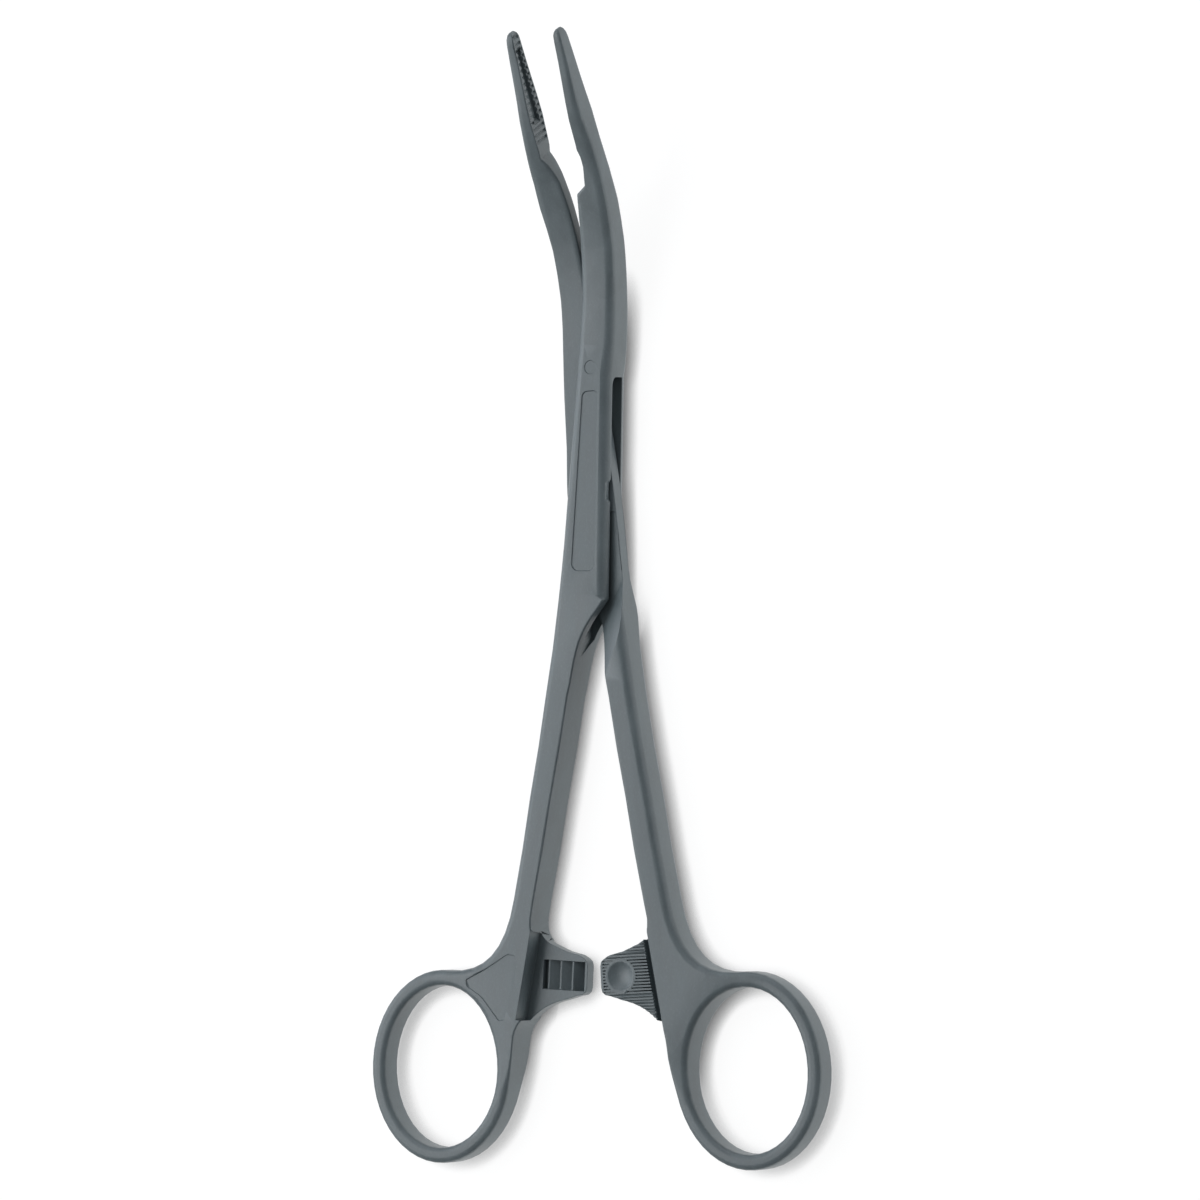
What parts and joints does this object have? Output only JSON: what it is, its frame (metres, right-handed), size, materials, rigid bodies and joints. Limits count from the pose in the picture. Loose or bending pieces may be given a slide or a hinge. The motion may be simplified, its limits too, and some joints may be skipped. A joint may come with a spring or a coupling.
{
  "type": "tampon forceps",
  "caption": "Single-use plastic box-lock forceps with long jaws bent towards the front, serrated tips, finger rings and a saw-tooth ratchet, lying slightly open.",
  "frame": {"origin": "on the back face of the lock, straight under the pivot axis", "axes": "+Z is the pivot axis, from the flat back towards the front that carries the label panel and towards which the jaws bend; +Y points from the rings to the jaws, halfway between the two halves as they lie open; +X is to the right as seen from the front"},
  "size_m": [0.1164, 0.2542, 0.033],
  "materials": {
    "female_half_plastic": "satin, glass-filled, dark blue grey",
    "male_half_plastic": "satin, glass-filled, dark blue grey"
  },
  "bodies": {
    "female": {"female_half": "female_half_plastic"},
    "male": {"male_half": "male_half_plastic"}
  },
  "joints": [
    {"name": "box_lock", "type": "hinge", "parent": "female", "child": "male", "pos_m": [0, 0, 0.0045], "axis": [0, 0, 1], "range_deg": [-5.9, 24]}
  ]
}
